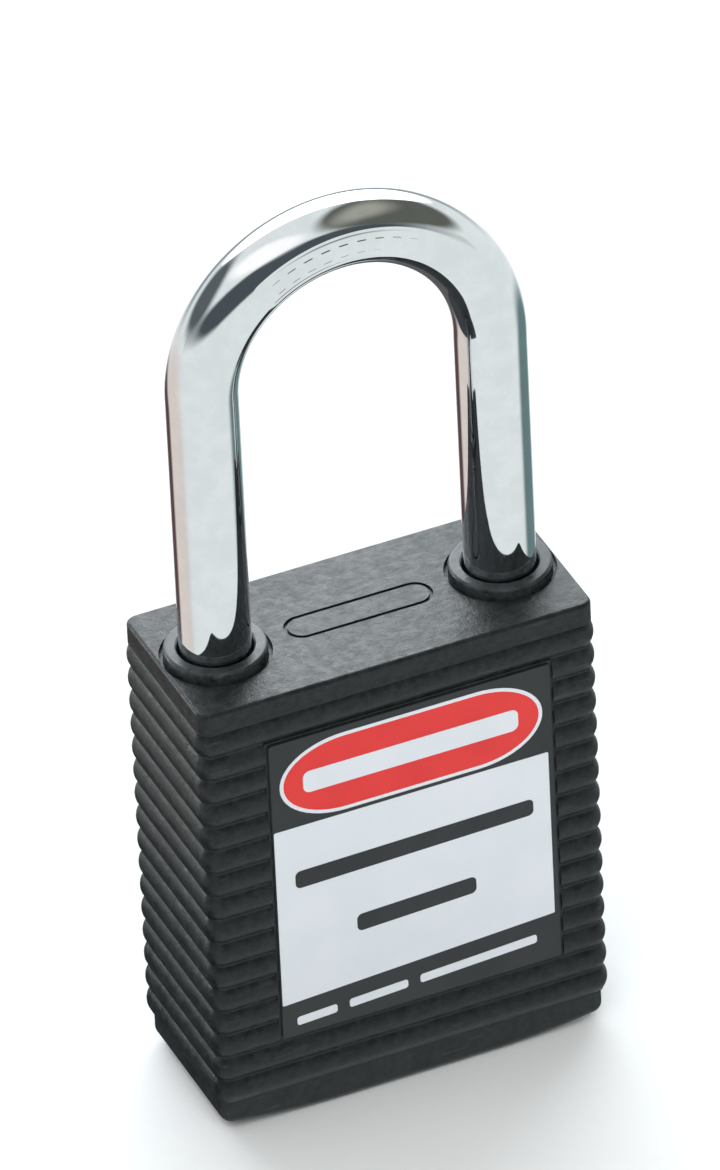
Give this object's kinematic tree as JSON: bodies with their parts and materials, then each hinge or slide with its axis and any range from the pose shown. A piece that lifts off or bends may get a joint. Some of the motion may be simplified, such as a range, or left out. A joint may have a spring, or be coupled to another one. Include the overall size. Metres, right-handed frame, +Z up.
{
  "type": "safety padlock",
  "caption": "Lockout padlock with a ribbed black nylon jacket, a blank front label and a tall chromed shackle that lifts out of the body; the key plug drives two locking balls.",
  "frame": {"origin": "under the middle of the body, on the surface that the flat of its base stands on", "axes": "+Z up along the shackle's legs, -Y out of the label, the toe leg of the shackle on the +X side"},
  "size_m": [0.0384, 0.0176, 0.0902],
  "materials": {
    "jacket": "moulded black nylon, satin",
    "cover": "moulded black nylon, satin",
    "collar": "black nylon",
    "label": "printed film",
    "shackle": "chromed steel",
    "ball": "polished steel",
    "core": "machined",
    "brass": "machined brass",
    "plug": "turned brass",
    "actuator": "sintered steel",
    "screw": "plain steel",
    "spring_steel": "spring steel",
    "pin_brass": "turned brass",
    "pin_steel": "nickel plated"
  },
  "bodies": {
    "body": {"outer_jacket": "jacket", "bottom_cover": "cover", "lock_core": "core", "collar_heel": "collar", "collar_toe": "collar", "label": "label", "cylinder_housing": "brass", "cylinder_screw": "screw", "chamber_cover": "brass", "driver_pins": "pin_steel", "pin_springs": "spring_steel", "shackle_spring": "spring_steel", "retaining_pin": "screw"},
    "shackle": {"shackle": "shackle"},
    "plug": {"plug": "plug", "plug_ring": "spring_steel", "actuator": "actuator", "key_pins": "pin_brass"},
    "heel_ball": {"heel_ball": "ball"},
    "toe_ball": {"toe_ball": "ball"}
  },
  "joints": [
    {"name": "shackle_lift", "type": "slide", "parent": "body", "child": "shackle", "axis": [0, 0, 1], "range_m": [0, 0.0132], "deforming": ["shackle_spring"]},
    {"name": "plug_turn", "type": "hinge", "parent": "body", "child": "plug", "pos_m": [0, 0, 0.0007], "axis": [0, 0, 1], "range_deg": [-90, 0]},
    {"name": "heel_ball_slide", "type": "slide", "parent": "body", "child": "heel_ball", "axis": [-1, 0, 0], "range_m": [0, 0.0015]},
    {"name": "toe_ball_slide", "type": "slide", "parent": "body", "child": "toe_ball", "axis": [1, 0, 0], "range_m": [0, 0.0015]}
  ],
  "couplings": [
    {"joint": "heel_ball_slide", "follows": "plug_turn", "m_per_rad": -0.00095493},
    {"joint": "toe_ball_slide", "follows": "plug_turn", "m_per_rad": -0.00095493}
  ]
}
